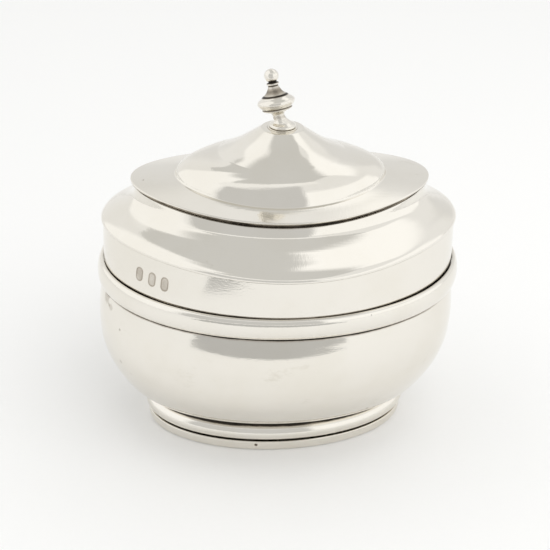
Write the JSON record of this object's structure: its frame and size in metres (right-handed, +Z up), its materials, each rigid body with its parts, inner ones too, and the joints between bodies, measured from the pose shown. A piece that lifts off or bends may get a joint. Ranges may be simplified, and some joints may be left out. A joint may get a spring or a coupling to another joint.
{
  "type": "covered sugar bowl",
  "caption": "Oval silver sugar bowl on a stepped foot, with a girdle wire, hollow shoulder and a hinged domed lid with a turned finial.",
  "frame": {"origin": "on the table under the middle of the bowl", "axes": "+Z up, X along the long axis of the oval, -Y towards the front, +Y towards the hinge"},
  "size_m": [0.0934, 0.0738, 0.0973],
  "materials": {
    "silver": "hand-polished sterling silver with light wear"
  },
  "bodies": {
    "bowl": {"foot_rim": "silver", "foot_moulding": "silver", "lower_body": "silver", "girdle_wire": "silver", "upper_band": "silver", "shoulder": "silver", "mouth_collar": "silver", "body_hinge_plate": "silver", "body_knuckle_left_end": "silver", "body_knuckle_middle": "silver", "body_knuckle_right_end": "silver", "hinge_pin": "silver"},
    "lid": {"lid_cover": "silver", "lid_bezel": "silver", "finial_plate": "silver", "finial": "silver", "finial_stud": "silver", "finial_washer": "silver", "finial_nut": "silver", "lid_hinge_plate": "silver", "lid_knuckle_left": "silver", "lid_knuckle_right": "silver"}
  },
  "joints": [
    {"name": "lid_hinge", "type": "hinge", "parent": "bowl", "child": "lid", "pos_m": [0, 0.0253, 0.0677], "axis": [-1, 0, 0], "range_deg": [0, 105]}
  ]
}
